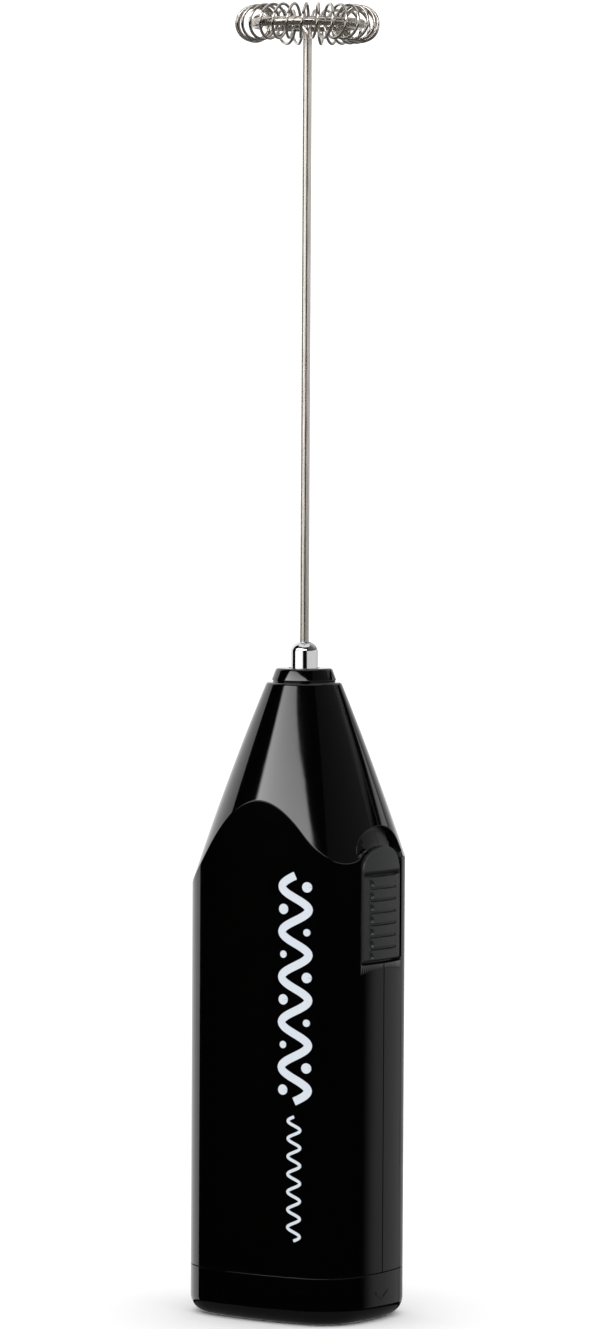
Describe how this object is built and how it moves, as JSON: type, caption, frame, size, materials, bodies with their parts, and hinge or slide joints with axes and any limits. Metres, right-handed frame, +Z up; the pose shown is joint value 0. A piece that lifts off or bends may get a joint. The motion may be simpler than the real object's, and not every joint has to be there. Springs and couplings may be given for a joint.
{
  "type": "milk frother",
  "caption": "Battery milk frother: gloss black oval handle with a conical nose, thumb slide switch, thin steel shaft and a coil ring whisk.",
  "frame": {"origin": "on the whisk's spin axis, in the flat base that the frother stands on", "axes": "+Z up along the whisk shaft, +X to the thumb switch; the two half shells meet in the plane Y = 0"},
  "size_m": [0.0346, 0.027, 0.217],
  "materials": {
    "gloss_black_abs": "moulded, polished",
    "gloss_black_collar": "moulded, polished",
    "matte_black_switch": "moulded, fine texture",
    "white_nylon": "moulded",
    "zinc_plated_steel": "drawn and plated",
    "ferrite": "sintered",
    "sintered_bronze": "sintered",
    "spring_copper": "rolled strip",
    "nickel_plated_strip": "plated strip",
    "nickel_plated_wire": "plated wire",
    "cell_jacket": "printed film sleeve, plain",
    "ground_steel": "ground",
    "laminated_iron": "stamped laminations",
    "enamelled_copper": "enamelled wire",
    "chrome_plate": "bright plated",
    "stainless_wire": "drawn wire"
  },
  "bodies": {
    "housing": {"front_shell": "gloss_black_abs", "rear_shell": "gloss_black_abs", "nose_collar": "gloss_black_collar", "motor_carrier": "white_nylon", "motor_can": "zinc_plated_steel", "motor_end_cap": "white_nylon", "magnet_left": "ferrite", "magnet_right": "ferrite", "motor_front_bush": "sintered_bronze", "motor_rear_bush": "sintered_bronze", "brush_plus": "spring_copper", "brush_minus": "spring_copper", "battery_cell_right": "cell_jacket", "battery_cell_left": "cell_jacket", "contact_plus": "nickel_plated_strip", "contact_minus": "nickel_plated_strip", "contact_spring": "nickel_plated_wire", "switch_strip": "nickel_plated_strip"},
    "slider": {"switch_slider": "matte_black_switch", "switch_wiper": "spring_copper"},
    "cover": {"battery_cover": "gloss_black_abs", "cover_contact": "nickel_plated_strip", "cover_spring": "nickel_plated_wire"},
    "rotor": {"motor_shaft": "ground_steel", "armature_core": "laminated_iron", "armature_windings": "enamelled_copper", "commutator": "spring_copper", "whisk_coupling": "chrome_plate", "whisk_rod": "stainless_wire", "whisk_spring": "stainless_wire"}
  },
  "joints": [
    {"name": "whisk_spin", "type": "hinge", "parent": "housing", "child": "rotor", "pos_m": [0, 0, 0.1], "axis": [0, 0, 1], "continuous": true},
    {"name": "switch_slide", "type": "slide", "parent": "housing", "child": "slider", "axis": [0, 0, 1], "range_m": [0, 0.0025]},
    {"name": "cover_slide", "type": "slide", "parent": "housing", "child": "cover", "axis": [0, 0, -1], "range_m": [0, 0.012]}
  ]
}
